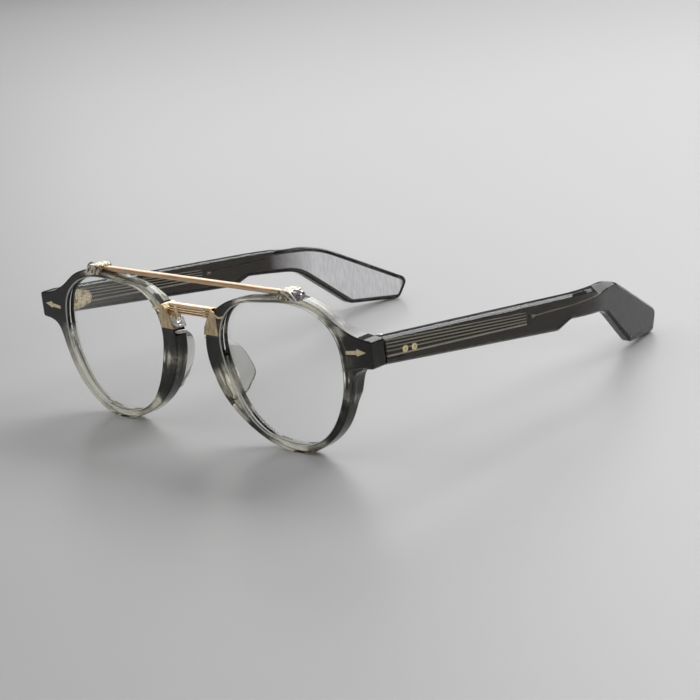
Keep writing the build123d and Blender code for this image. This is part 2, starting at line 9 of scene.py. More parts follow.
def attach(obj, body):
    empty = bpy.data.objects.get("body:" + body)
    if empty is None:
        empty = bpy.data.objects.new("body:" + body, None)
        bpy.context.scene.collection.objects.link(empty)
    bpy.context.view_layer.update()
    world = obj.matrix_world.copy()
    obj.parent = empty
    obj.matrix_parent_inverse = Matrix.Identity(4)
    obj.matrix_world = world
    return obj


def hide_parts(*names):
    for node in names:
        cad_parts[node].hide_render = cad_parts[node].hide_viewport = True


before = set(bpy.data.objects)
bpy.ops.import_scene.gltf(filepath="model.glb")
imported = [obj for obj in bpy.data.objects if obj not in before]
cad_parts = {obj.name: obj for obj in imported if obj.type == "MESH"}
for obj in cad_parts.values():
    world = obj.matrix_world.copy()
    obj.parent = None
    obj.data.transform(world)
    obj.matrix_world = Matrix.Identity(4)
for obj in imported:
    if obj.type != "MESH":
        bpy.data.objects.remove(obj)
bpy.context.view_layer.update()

# Rims: each one is milled from a sheet of smoky, translucent acetate and tumbled until its edges
# are round. Its endpiece is deeper than the rest, to meet the temple and hold the hinge's anchor.
MM = 0.001
WRAP = math.radians(1.9)
FRONT_Y = -70.8655
RIM_THICKNESS = 4.2
RIM_ROUND = 0.42
OPENING_ROUND = 0.3
FACE_MARGIN = 0.15
WALL_MARGIN = 0.08
LENS_GROOVE = [(0.0, 3.2), (0.5, 3.05), (0.5, 1.0), (0.0, 0.85)]
WHITE_LINE_SHARE = 0.75
WELDED = 0.0001
SLIVER = 0.00001
RIM_STEPS = 8
OPENING_STEPS = 14
RIM_CORNER = (6.5, -0.12)
RIM_SIZE = (57.0, 45.72)
LENS_MIDDLE = np.array([36.4, 22.85])
LENS_SIZE = np.array([47.3, 40.7])
ENDPIECE_CORNER = (63.5, 27.9)
ENDPIECE_SIZE = (8.5, 7.7)
ENDPIECE_ROUND = 0.8
ENDPIECE_DEPTH = 5.2
ENDPIECE_STEP = (60.9, 62.4)
OPENING_SHARES = [
    (0.500, 0.120), (0.462, 0.305), (0.355, 0.425), (0.175, 0.494), (0.000, 0.498),
    (-0.130, 0.486), (-0.262, 0.470), (-0.385, 0.412), (-0.470, 0.300), (-0.500, 0.150),
    (-0.478, 0.000), (-0.412, -0.205), (-0.312, -0.366), (-0.165, -0.468), (0.000, -0.500),
    (0.172, -0.482), (0.330, -0.380), (0.430, -0.225), (0.488, -0.050),
]
RIM_SHARES = [
    (0.979, 0.828), (0.909, 0.875), (0.840, 0.932), (0.746, 0.978), (0.649, 1.000),
    (0.535, 0.991), (0.412, 0.971), (0.307, 0.954), (0.202, 0.921), (0.118, 0.871),
    (0.054, 0.807), (0.018, 0.726), (0.000, 0.614), (0.007, 0.520), (0.033, 0.423),
    (0.074, 0.322), (0.132, 0.235), (0.225, 0.143), (0.346, 0.061), (0.465, 0.013),
    (0.579, 0.000), (0.689, 0.031), (0.796, 0.105), (0.888, 0.211), (0.947, 0.333),
    (0.984, 0.452), (1.000, 0.513),
]
ENDPIECE_TOP_SHARES = [(0.67, 1.03), (0.29, 1.11)]
ENDPIECE_FOOT_SHARES = [(0.13, -0.31), (0.34, -0.13), (0.67, -0.03)]


def spread(shares, corner, size):
    """Places shares of a size from a corner."""
    return np.array(corner) + np.array(shares) * np.array(size)


def smooth_line(points, closed, steps=RIM_STEPS):
    """A cubic spline through points, in even steps between each pair."""
    p = np.array(points, float)
    if closed:
        p = np.vstack([p, p[:1]])
    h = np.linalg.norm(np.diff(p, axis=0), axis=1)
    count = len(p)
    sums, wanted = np.zeros((count, count)), np.zeros_like(p)
    slopes = np.diff(p, axis=0) / h[:, None]
    for i in range(1, count - 1):
        sums[i, i - 1:i + 2] = h[i - 1], 2 * (h[i - 1] + h[i]), h[i]
        wanted[i] = 6 * (slopes[i] - slopes[i - 1])
    if closed:
        sums[0, [0, 1, -2]] = 2 * (h[0] + h[-1]), h[0], h[-1]
        wanted[0] = 6 * (slopes[0] - slopes[-1])
        sums[-1, [0, -1]] = 1, -1
    else:
        sums[0, 0] = sums[-1, -1] = 1
    bend = np.linalg.solve(sums, wanted)
    line = []
    for i in range(count - 1):
        for b in np.arange(steps) / steps:
            a = 1 - b
            pull = ((a**3 - a) * bend[i] + (b**3 - b) * bend[i + 1]) * h[i] ** 2 / 6
            line.append(a * p[i] + b * p[i + 1] + pull)
    return np.array(line if closed else line + [p[-1]])


def rounded_corner(before, corner, after, radius, steps=5):
    """The points of an arc that rounds a corner."""
    before, corner, after = (np.array(p, float) for p in (before, corner, after))
    a = (before - corner) / np.linalg.norm(before - corner)
    b = (after - corner) / np.linalg.norm(after - corner)
    half = math.acos(np.clip(a @ b, -1, 1)) / 2
    middle = corner + (a + b) / np.linalg.norm(a + b) * radius / math.sin(half)
    start, end = corner + a * radius / math.tan(half), corner + b * radius / math.tan(half)
    arc = []
    for share in np.linspace(0, 1, steps):
        toward = start + (end - start) * share - middle
        arc.append(middle + toward / np.linalg.norm(toward) * radius)
    return arc


def moved_in(line, amount):
    """Moves a closed, left-turning outline inwards by one amount."""
    along = np.roll(line, -1, axis=0) - np.roll(line, 1, axis=0)
    along /= np.linalg.norm(along, axis=1)[:, None]
    return line + amount * np.stack([-along[:, 1], along[:, 0]], axis=1)


def on_front(line, depth, side):
    """Where an outline on a rim's sheet lies at some depth behind its front face."""
    u, v, depth = line[:, 0], line[:, 1], np.broadcast_to(depth, len(line))
    x = u * math.cos(WRAP) - depth * math.sin(WRAP)
    y = FRONT_Y + u * math.sin(WRAP) + depth * math.cos(WRAP)
    return np.stack([side * x, y, np.maximum(v, 0)], axis=1)


def skin(rings, joined=False, capped=False):
    """The points and faces of a skin over rings of equally many points."""
    count, around = len(rings), len(rings[0])
    faces = []
    for r in range(count if joined else count - 1):
        here, there = r * around, (r + 1) % count * around
        faces += [
            (here + i, here + (i + 1) % around, there + (i + 1) % around, there + i) for i in range(around)
        ]
    if capped:
        faces += [tuple(range(around)), tuple(range((count - 1) * around, count * around))]
    return np.concatenate(rings), faces


def shown(name, mesh, sharp_angle):
    """Puts a mesh into the scene as a smooth piece whose edges past an angle stay sharp."""
    mesh.shade_smooth()
    mesh.set_sharp_from_angle(angle=math.radians(sharp_angle))
    piece = bpy.data.objects.new(name, mesh)
    bpy.context.scene.collection.objects.link(piece)
    piece.modifiers.new("even_normals", "WEIGHTED_NORMAL").keep_sharp = True
    return piece


def solid(name, points, faces, **marks):
    """A closed, smooth piece from points in millimetres, and marks with a value for each point."""
    mesh = bpy.data.meshes.new(name)
    mesh.from_pydata([tuple(p) for p in points * MM], [], faces)
    for mark, values in marks.items():
        mesh.attributes.new(mark, "FLOAT", "POINT").data.foreach_set("value", np.asarray(values, np.float32))
    shape = bmesh.new()
    shape.from_mesh(mesh)
    bmesh.ops.remove_doubles(shape, verts=shape.verts, dist=WELDED * MM)
    bmesh.ops.dissolve_degenerate(shape, edges=shape.edges, dist=SLIVER * MM)
    bmesh.ops.recalc_face_normals(shape, faces=shape.faces)
    shape.to_mesh(mesh)
    shape.free()
    return shown(name, mesh, sharp_angle=50)


class Reading:
    """What a node gives, which can be added, multiplied and so on with Math nodes."""

    def __init__(self, tree, socket):
        self.tree, self.socket = tree, socket

    def with_math(self, operation, first, second):
        return self.tree.node("ShaderNodeMath", {"operation": operation}, {0: first, 1: second})

    def __add__(self, other):
        return self.with_math("ADD", self, other)

    def __radd__(self, other):
        return self.with_math("ADD", other, self)

    def __sub__(self, other):
        return self.with_math("SUBTRACT", self, other)

    def __rsub__(self, other):
        return self.with_math("SUBTRACT", other, self)

    def __mul__(self, other):
        return self.with_math("MULTIPLY", self, other)

    def __rmul__(self, other):
        return self.with_math("MULTIPLY", other, self)

    def __truediv__(self, other):
        return self.with_math("DIVIDE", self, other)

    def __rtruediv__(self, other):
        return self.with_math("DIVIDE", other, self)


class Tree:
    """A node tree that is filled with one method."""

    def __init__(self, tree):
        self.tree = tree

    def node(self, kind, settings=None, sockets=None, out=0):
        """Adds a node with its settings first and then its sockets, and gives one of its outputs."""
        made = self.tree.nodes.new(kind)
        for name, value in (settings or {}).items():
            setattr(made, name, value)
        for name, value in (sockets or {}).items():
            if isinstance(value, Reading):
                self.tree.links.new(value.socket, made.inputs[name])
            else:
                made.inputs[name].default_value = value
        return Reading(self, made.outputs[out]) if made.outputs else made


class Finish(Tree):
    """A material on one Principled surface, with its patterns in object coordinates."""

    def __init__(self, name):
        self.material = bpy.data.materials.new(name)
        self.material.use_nodes = True
        super().__init__(self.material.node_tree)
        self.tree.nodes.clear()
        self.place = self.node("ShaderNodeTexCoord", out="Object")

    def cloud(self, size, detail=3.0, stretch=(1, 1, 1), turn=(0, 0, 0), offset=(0, 0, 0)):
        """Noise with clouds of a size in millimetres, drawn out along some axes."""
        scale = [1 / (size * MM * along) for along in stretch]
        placed = self.node("ShaderNodeMapping", {}, {
            "Vector": self.place, "Location": offset, "Rotation": turn, "Scale": scale})
        return self.node("ShaderNodeTexNoise", {}, {"Vector": placed, "Scale": 1.0, "Detail": detail})

    def rise(self, value, low, high):
        """0 below low and 1 above high, with a smooth step between."""
        return self.node("ShaderNodeMapRange", {"interpolation_type": "SMOOTHSTEP"}, {
            "Value": value, "From Min": low, "From Max": high})

    def near(self, spot, reach):
        """1 at a spot, in millimetres, and 0 from its reach on."""
        distance = self.node("ShaderNodeVectorMath", {"operation": "DISTANCE"}, {
            0: self.place, 1: [p * MM for p in spot]}, out="Value")
        return 1 - self.rise(distance, 0.0, reach * MM)

    def mark(self, name):
        """A mark that the piece's points carry."""
        return self.node("ShaderNodeAttribute", {"attribute_name": name}, out="Fac")

    def blend(self, share, first, second):
        """A colour between two."""
        return self.node("ShaderNodeMix", {"data_type": "RGBA"}, {0: share, 6: first, 7: second}, out=2)

    def surface(self, colour, roughness, bump=None, depth=0.0, body=None, film=None, **fixed):
        """Ends the material in a surface.

        bump and its depth in millimetres make it uneven, body is the colour and density inside it,
        film is the share, colour and roughness of a pale skin laid over it, and the rest are fixed sockets.
        """
        sockets = {"Base Color": colour, "Roughness": roughness}
        if bump is not None:
            sockets["Normal"] = self.node("ShaderNodeBump", {}, {
                "Height": bump, "Strength": 0.6, "Distance": depth * MM})
        sockets.update({name.replace("_", " "): value for name, value in fixed.items()})
        shader = self.node("ShaderNodeBsdfPrincipled", {}, sockets)
        if film is not None:
            share, film_colour, film_roughness = film
            pale_skin = self.node("ShaderNodeBsdfPrincipled", {}, {
                "Base Color": film_colour, "Roughness": film_roughness})
            shader = self.node("ShaderNodeMixShader", {}, {0: share, 1: shader, 2: pale_skin})
        ends = {"Surface": shader}
        if body is not None:
            body_colour, density = body
            ends["Volume"] = self.node("ShaderNodeVolumeAbsorption", {}, {
                "Color": body_colour, "Density": density})
        self.node("ShaderNodeOutputMaterial", {}, ends)
        return self.material


def fit(piece, material, body, slot, *nodes):
    """Gives a piece its material and its body, and hides the CAD nodes that it stands for. The slot is not
    used.
    """
    piece.data.materials.clear()
    piece.data.materials.append(material)
    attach(piece, body)
    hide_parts(*nodes)


def sides():
    """The wearer's left, on +X, and right."""
    return (("left", 1), ("right", -1))


opening = smooth_line(spread(OPENING_SHARES, LENS_MIDDLE, LENS_SIZE), True, OPENING_STEPS)
endpiece_top = spread(ENDPIECE_TOP_SHARES, ENDPIECE_CORNER, ENDPIECE_SIZE)
endpiece_foot = spread(ENDPIECE_FOOT_SHARES, ENDPIECE_CORNER, ENDPIECE_SIZE)
edge = smooth_line(np.vstack([endpiece_top, spread(RIM_SHARES, RIM_CORNER, RIM_SIZE), endpiece_foot]), False)
low_corner, high_corner = spread([(1, 0), (1, 1)], ENDPIECE_CORNER, ENDPIECE_SIZE)
outline = np.vstack([
    edge,
    rounded_corner(edge[-1], low_corner, high_corner, ENDPIECE_ROUND),
    rounded_corner(low_corner, high_corner, edge[0], ENDPIECE_ROUND),
])
bearing = np.unwrap(np.arctan2(*(outline - LENS_MIDDLE).T[::-1]))
opening_bearing = np.unwrap(np.arctan2(*(opening - LENS_MIDDLE).T[::-1]))
around = np.concatenate([opening_bearing - 2 * np.pi, opening_bearing, opening_bearing + 2 * np.pi])
inner = np.stack([np.interp(bearing, around, np.tile(opening[:, i], 3)) for i in (0, 1)], axis=1)


def edge_levels(size, steps=4):
    """How far in and how deep the points of a rounded edge lie, from the face to the wall."""
    turns = np.linspace(0, np.pi / 2, steps + 1)
    return [(size * (1 - math.sin(t)), size * (1 - math.cos(t))) for t in turns]


front_levels = [(RIM_ROUND + FACE_MARGIN, 0.0)] + edge_levels(RIM_ROUND)
back_levels = [(inset, RIM_THICKNESS - depth) for inset, depth in reversed(front_levels)]
hole_front = [(OPENING_ROUND + FACE_MARGIN, 0.0)] + edge_levels(OPENING_ROUND)
hole_front += [(0.0, OPENING_ROUND + WALL_MARGIN)]
hole_levels = [(inset, RIM_THICKNESS - depth) for inset, depth in hole_front]
hole_levels += LENS_GROOVE + list(reversed(hole_front))

# Where the smoke is darker or clearer, with the reach of each spot. One listed twice pulls twice.
DARK_PULL = 0.42
DARK_SPOTS = [
    ((14, -68, 42), 9), ((7, -68, 27), 9), ((20, -67, 5), 5), ((56, -66, 9), 12),
    ((68, -66, 32), 11), ((68, -66, 32), 11), ((64, -66, 22), 7), ((-68, -66, 32), 12),
    ((-68, -66, 32), 12), ((-55, -67, 42), 10), ((-8, -68, 28), 11), ((-15, -68, 12), 9),
]
CLEAR_PULL = 0.34
CLEAR_SPOTS = [
    ((45, -67, 45), 14), ((35, -67, 1), 10), ((12, -68, 14), 8), ((27, -68, 45), 9),
    ((60, -67, 24), 4), ((-18, -68, 43), 13), ((-55, -67, 8), 15), ((-38, -67, 1), 12),
    ((-33, -68, 45), 6),
]

acetate = Finish("rim_acetate")
mottle = acetate.cloud(9.0, 2.5, stretch=(1.0, 1.6, 0.8), turn=(0.2, 0.5, 0.4))
swirl = acetate.cloud(3.2, 4.0, stretch=(1.4, 1.4, 0.7), turn=(0.9, 0.1, 0.6))
pull = 0.0
for spot, reach in DARK_SPOTS:
    pull = acetate.near(spot, reach) * DARK_PULL + pull
for spot, reach in CLEAR_SPOTS:
    pull = pull - acetate.near(spot, reach) * CLEAR_PULL
smoke = acetate.rise(mottle + swirl * 0.35 + pull, 0.50, 0.86)
haze = acetate.rise(swirl, 0.35, 0.7)
clear_part = acetate.blend(haze, (0.98, 0.97, 0.90, 1), (0.82, 0.79, 0.64, 1))
dark_part = acetate.blend(haze, (0.005, 0.005, 0.004, 1), (0.026, 0.023, 0.016, 1))
# A pale, rough skin on the front rounding of each opening draws a white line round it.
cut_edge = acetate.mark("cut_edge")
rim_acetate = acetate.surface(
    acetate.blend(smoke, clear_part, dark_part), roughness=swirl * 0.03 + 0.02,
    bump=acetate.cloud(2.0, 1.0), depth=0.003, body=((0.80, 0.79, 0.72, 1), 170.0),
    film=(cut_edge * 0.7, (0.96, 0.96, 0.93, 1), 0.35), Transmission_Weight=0.98, IOR=1.49)

for side_name, side in sides():
    rings, white_line_marks = [], []
    for levels, line, sense in ((front_levels + back_levels, outline, 1), (hole_levels, inner, -1)):
        for inset, depth in levels:
            ring = moved_in(line, inset * sense)
            share = np.clip((ring[:, 0] - ENDPIECE_STEP[0]) / (ENDPIECE_STEP[1] - ENDPIECE_STEP[0]), 0, 1)
            deeper = (share * share * (3 - 2 * share)) * (ENDPIECE_DEPTH - RIM_THICKNESS)
            if depth < RIM_THICKNESS / 2 or sense < 0:
                deeper = 0
            rings.append(on_front(ring, depth + deeper, side))
            whitened = sense < 0 and depth < OPENING_ROUND and inset < OPENING_ROUND * WHITE_LINE_SHARE
            white_line_marks += [float(whitened)] * len(ring)
    rim = solid(side_name + "_acetate_rim", *skin(rings, joined=True), cut_edge=white_line_marks)
    fit(rim, rim_acetate, "front", "rim_acetate", side_name + "_rim")

# Lenses: thin shells of clear demonstration plastic, bent to a sphere and sprung into the groove
# that runs round each opening.
LENS_CURVE = 180.0
LENS_THICKNESS = 1.5
LENS_BULGE = 0.1
LENS_BITE = 0.3
LENS_RINGS = [1.0, 0.94, 0.8, 0.6, 0.4, 0.2, 0.0]

clear = Finish("clear_lens")
faint = clear.cloud(30.0, 1.0)
lens_clear = clear.surface(
    clear.blend(faint, (0.975, 0.98, 0.975, 1), (0.965, 0.975, 0.975, 1)), roughness=faint * 0.004,
    bump=clear.cloud(12.0, 0.0), depth=0.002, Transmission_Weight=1.0, IOR=1.5)

for side_name, side in sides():
    lens_edge = moved_in(opening, -LENS_BITE)
    rings = []
    for level in (0, 1):
        for share in LENS_RINGS if level else LENS_RINGS[::-1]:
            ring = LENS_MIDDLE + (lens_edge - LENS_MIDDLE) * share
            across = np.sum((ring - LENS_MIDDLE) ** 2, axis=1)
            curve = LENS_CURVE - LENS_THICKNESS * level
            rings.append(on_front(ring, LENS_CURVE - LENS_BULGE - np.sqrt(curve**2 - across), side))
    lens = solid(side_name + "_clear_lens", *skin(rings))
    fit(lens, lens_clear, "front", "lens", side_name + "_lens")

# Nose pads: moulded fins of the same acetate as the rims, but clearer, welded to the rims' backs
# and polished all round. They lean out and back to sit on the nose.
PAD_TOP = 29.6
PAD_DROP = 17.6
PAD_REACH = 7.0
PAD_NASAL = 6.75
PAD_SPLAY = 5.6
PAD_BASE = 4.9
PAD_LAG = 0.62
PAD_TIP = 1.7
PAD_SEAT = 1.2
PAD_CORNER_CUTS = (0.16, 0.22, 0.25)
PAD_STEPS = 4
PAD_SHARES = [
    (0.00, 0.10, 0.00, 0.60), (0.12, 0.56, 0.01, 0.86), (0.26, 0.83, 0.05, 1.00),
    (0.46, 0.98, 0.21, 1.00), (0.64, 1.00, 0.44, 0.96), (0.79, 0.77, 0.63, 0.86),
    (0.90, 0.54, 0.80, 0.74), (1.00, 0.12, 1.00, 0.50),
]


def cut_corners(line, cuts):
    """Cuts a closed outline's corners off, over and over, by shares of its sides."""
    for cut in cuts:
        following = np.roll(line, -1, axis=0)
        pairs = np.stack([line + (following - line) * cut, following + (line - following) * cut], 1)
        line = pairs.reshape(-1, 2)
    return line


pad_look = Finish("pad_acetate")
veil = pad_look.cloud(6.0, 3.0, stretch=(1, 1, 1.5))
pad_acetate = pad_look.surface(
    pad_look.blend(pad_look.rise(veil, 0.35, 0.7), (0.94, 0.94, 0.92, 1), (0.84, 0.83, 0.79, 1)),
    roughness=veil * 0.02 + 0.02, bump=veil, depth=0.01, body=((0.70, 0.69, 0.64, 1), 130.0),
    Transmission_Weight=1.0, IOR=1.49)

for side_name, side in sides():
    rings = []
    for drop, reach, splay, base in smooth_line(PAD_SHARES, False, PAD_STEPS):
        nasal, depth = PAD_NASAL + PAD_SPLAY * splay, PAD_REACH * reach
        fin = cut_corners(np.array([
            (nasal, RIM_THICKNESS - PAD_SEAT),
            (nasal + PAD_LAG * depth, RIM_THICKNESS + depth),
            (nasal + PAD_LAG * depth + PAD_TIP * base, RIM_THICKNESS + depth),
            (nasal + PAD_BASE * base, RIM_THICKNESS - PAD_SEAT),
        ]), PAD_CORNER_CUTS)
        level = np.stack([fin[:, 0], np.full(len(fin), PAD_TOP - PAD_DROP * drop)], axis=1)
        rings.append(on_front(level, fin[:, 1], side))
    rings = [rings[0] * 0 + rings[0].mean(0)] + rings + [rings[-1] * 0 + rings[-1].mean(0)]
    pad = solid(side_name + "_welded_pad", *skin(rings))
    fit(pad, pad_acetate, "front", "pad_acetate", side_name + "_nose_pad")

# Bridge and shoes: a grooved bar of pale gold metal with a collar at each end. It is soldered to
# a shoe that caps each rim's nose, with a wire at its toe, and a silver clasp on the shoe's side
# is held by a small slotted screw over a ledge.
EDGE_ROUND = 0.11
SHARP = math.radians(28)
FLAT = math.radians(0.6)
MERGED = 0.002


def finished_copy(name, node, round_size=EDGE_ROUND):
    """A CAD node's shape with its triangles merged and its sharp edges rounded, in a piece of its own."""
    shape = bmesh.new()
    shape.from_mesh(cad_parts[node].data)
    bmesh.ops.remove_doubles(shape, verts=shape.verts, dist=MERGED * MM)
    bmesh.ops.dissolve_limit(
        shape, angle_limit=FLAT, use_dissolve_boundaries=False, verts=shape.verts,
        edges=shape.edges, delimit={"NORMAL"})
    sharp = [e for e in shape.edges if len(e.link_faces) == 2 and e.calc_face_angle(0) > SHARP]
    bmesh.ops.bevel(
        shape, geom=sharp, offset=round_size * MM, offset_type="OFFSET", segments=2, profile=0.5,
        affect="EDGES", clamp_overlap=True)
    bmesh.ops.recalc_face_normals(shape, faces=shape.faces)
    mesh = bpy.data.meshes.new(name)
    shape.to_mesh(mesh)
    shape.free()
    return shown(name, mesh, sharp_angle=60)


gilt = Finish("pale_gold")
grain = gilt.cloud(0.3, 2.0)
tarnish = gilt.cloud(2.2, 3.0)
pale_gold = gilt.surface(
    gilt.blend(gilt.rise(tarnish, 0.35, 0.75), (0.84, 0.64, 0.44, 1), (0.62, 0.45, 0.29, 1)),
    roughness=grain * 0.06 + 0.12, bump=grain, depth=0.002, Metallic=1.0)


class Pattern(Tree):
    """A Geometry Nodes tree with named sizes that is baked on a carrier's own points."""

    def __init__(self, name, sizes):
        super().__init__(bpy.data.node_groups.new(name, "GeometryNodeTree"))
        face = self.tree.interface
        face.new_socket("Geometry", in_out="INPUT", socket_type="NodeSocketGeometry")
        self.inputs = {
            size: face.new_socket(size, in_out="INPUT", socket_type="NodeSocket" + kind).identifier
            for size, kind in {**sizes, "Finish": "Material"}.items()
        }
        face.new_socket("Geometry", in_out="OUTPUT", socket_type="NodeSocketGeometry")
        self.given = self.tree.nodes.new("NodeGroupInput")

    def size(self, name):
        """One of the tree's inputs."""
        return Reading(self, self.given.outputs[name])

    def end(self, geometry):
        """Ends the tree with real meshes of one material."""
        real = self.node("GeometryNodeRealizeInstances", {}, {"Geometry": geometry})
        coloured = self.node("GeometryNodeSetMaterial", {}, {
            "Geometry": real, "Material": self.size("Finish")})
        self.node("NodeGroupOutput", {}, {0: coloured})

    def bake(self, name, points, edges, finish, soft=0.0, turn=None, **millimetres):
        """Makes the pattern on points, turned or straight, and gives it as a plain piece."""
        mesh = bpy.data.meshes.new(name)
        mesh.from_pydata([tuple(p) for p in np.array(points) * MM], edges, [])
        piece = bpy.data.objects.new(name, mesh)
        modifier = piece.modifiers.new(name, "NODES")
        modifier.node_group = self.tree
        modifier[self.inputs["Finish"]] = finish
        for size, value in millimetres.items():
            modifier[self.inputs[size]] = value * MM
        if turn is not None:
            modifier[self.inputs["Turn"]] = turn
        bpy.context.scene.collection.objects.link(piece)
        graph = bpy.context.evaluated_depsgraph_get()
        made = bpy.data.meshes.new_from_object(piece.evaluated_get(graph))
        piece.modifiers.remove(modifier)
        piece.data = made
        made.shade_smooth()
        made.set_sharp_from_angle(angle=math.radians(40))
        if soft:
            bevel = piece.modifiers.new("softened", "BEVEL")
            bevel.width = soft * MM
            bevel.segments = 2
            bevel.angle_limit = math.radians(50)
        return piece


def chain(points):
    """The edges that join a row of points."""
    return [(i, i + 1) for i in range(len(points) - 1)]


WIRE_ROUND = 0.45
drawn = Pattern("drawn_bar", {"Width": "Float", "Height": "Float", "Round": "Float"})
path = drawn.node("GeometryNodeMeshToCurve", {}, {"Mesh": drawn.size("Geometry")})
section = drawn.node("GeometryNodeCurvePrimitiveQuadrilateral", {}, {
    "Width": drawn.size("Width"), "Height": drawn.size("Height")})
rounded = drawn.node("GeometryNodeFilletCurve", {"mode": "POLY"}, {
    "Curve": section, "Count": 5, "Radius": drawn.size("Round")})
drawn.end(drawn.node("GeometryNodeCurveToMesh", {}, {
    "Curve": path, "Profile Curve": rounded, "Fill Caps": True}))


def round_wire(name, points, edges, finish, thick):
    """A drawn wire of one thickness with a nearly round section."""
    return drawn.bake(name, points, edges, finish, Width=thick, Height=thick, Round=thick * WIRE_ROUND)


BRIDGE_HALF = 9.2
BRIDGE_FOOT = 35.75
BRIDGE_FACE = FRONT_Y + 1.4
BRIDGE_WEB = (1.9, 2.6)
BRIDGE_WEB_AT = (1.4, 1.45)
BRIDGE_WEB_ROUND = 0.1
BRIDGE_RIBS = [(0.14, 0.28), (0.76, 0.44), (1.46, 0.44), (2.44, 1.0)]
RIB_DEPTH = 1.9
RIB_ROUND = 0.24
RIB_BEVEL = 0.08
COLLAR = (5.5, 7.0)
COLLAR_AT = 0.95
COLLAR_LIP = 0.12
COLLAR_ROUND = 0.4
COLLAR_BEVEL = 0.18
SHOE_FOOT = 31.1
SHOE_TOP = 38.7
SHOE_REACH = 12.4
SHOE_PROUD = 0.35
SHOE_BACK = 4.65
SHOE_ROUND = 0.25
TOE = [(10.6, 38.05), (11.8, 37.6), (13.4, 36.7), (14.5, 36.8), (15.4, 37.15)]
TOE_PROUD = 0.1
TOE_WIRE = 0.62
CLASP = [
    (-0.2, 32.0), (4.3, 30.9), (4.5, 34.3), (3.5, 34.6), (3.3, 32.8), (2.9, 32.1), (2.0, 32.1),
    (1.5, 32.7), (1.3, 35.0), (0.1, 35.3),
]
CLASP_PROUD = 0.4
CLASP_ROUND = 0.15
LEDGE = [(0.3, 29.7), (4.2, 29.3), (4.3, 30.3), (0.2, 30.8)]
LEDGE_PROUD = 0.2
LEDGE_ROUND = 0.1
PLATE_CORNER_CUTS = (0.22, 0.25)
NOSE_WALL_FOOT = 28.0
SCREW_EDGE = 0.06


def tiled(line, pitch=0.35):
    """A closed outline with points at an even pitch along its straight parts."""
    dense = []
    for start, end in zip(line, np.roll(line, -1, axis=0)):
        count = max(1, int(np.linalg.norm(end - start) / pitch))
        dense += [start + (end - start) * i / count for i in range(count)]
    return np.array(dense)


def front_plate(name, line, front, back, edge_round, side):
    """A plate on the front, from one depth to another, with its long edges rounded."""
    levels = edge_levels(edge_round)
    rings = [on_front(moved_in(line, inset), front + depth, side) for inset, depth in levels]
    rings += [on_front(moved_in(line, inset), back - depth, side) for inset, depth in reversed(levels)]
    return solid(name, *skin(rings, capped=True))


def wall_plate(name, line, proud, edge_round, side):
    """A plate on the shoe's nose wall, from an outline of depths and heights, with its corners cut."""
    line = cut_corners(line, PLATE_CORNER_CUTS)
    rings = []
    for inset, sunk_by in edge_levels(edge_round) + [(0.0, proud + SHOE_PROUD)]:
        ring = moved_in(line, inset)
        wall = np.interp(ring[:, 1], nose_wall[:, 1], nose_wall[:, 0]) - SHOE_PROUD - proud + sunk_by
        rings.append(on_front(np.stack([wall, ring[:, 1]], axis=1), ring[:, 0], side))
    return solid(name, *skin(rings, capped=True))


nose_wall = outline[(outline[:, 0] < SHOE_REACH) & (outline[:, 1] > NOSE_WALL_FOOT)]
nose_wall = nose_wall[np.argsort(nose_wall[:, 1])]

dim = Finish("worn_gold")
scuff = dim.cloud(0.7, 2.0, stretch=(1, 1, 4))
worn_gold = dim.surface(
    dim.blend(dim.rise(scuff, 0.3, 0.7), (0.78, 0.62, 0.40, 1), (0.44, 0.34, 0.20, 1)),
    roughness=scuff * 0.15 + 0.1, bump=scuff, depth=0.012, Metallic=1.0)

silver = Finish("bright_silver")
fine = silver.cloud(0.9, 3.0)
bright_silver = silver.surface(
    silver.blend(silver.rise(fine, 0.35, 0.7), (0.97, 0.96, 0.94, 1), (0.55, 0.54, 0.53, 1)),
    roughness=fine * 0.1 + 0.14, bump=fine, depth=0.01, Metallic=0.7)

ivory = Finish("ivory_gold")
rubbing = ivory.cloud(0.7, 2.0)
ivory_gold = ivory.surface(
    ivory.blend(rubbing, (0.98, 0.86, 0.60, 1), (0.80, 0.66, 0.42, 1)),
    roughness=rubbing * 0.15 + 0.22, bump=rubbing, depth=0.02, Metallic=0.55)


def level_line(half, y, z):
    """The two ends of a line across the front."""
    return [(-half, y, z), (half, y, z)]


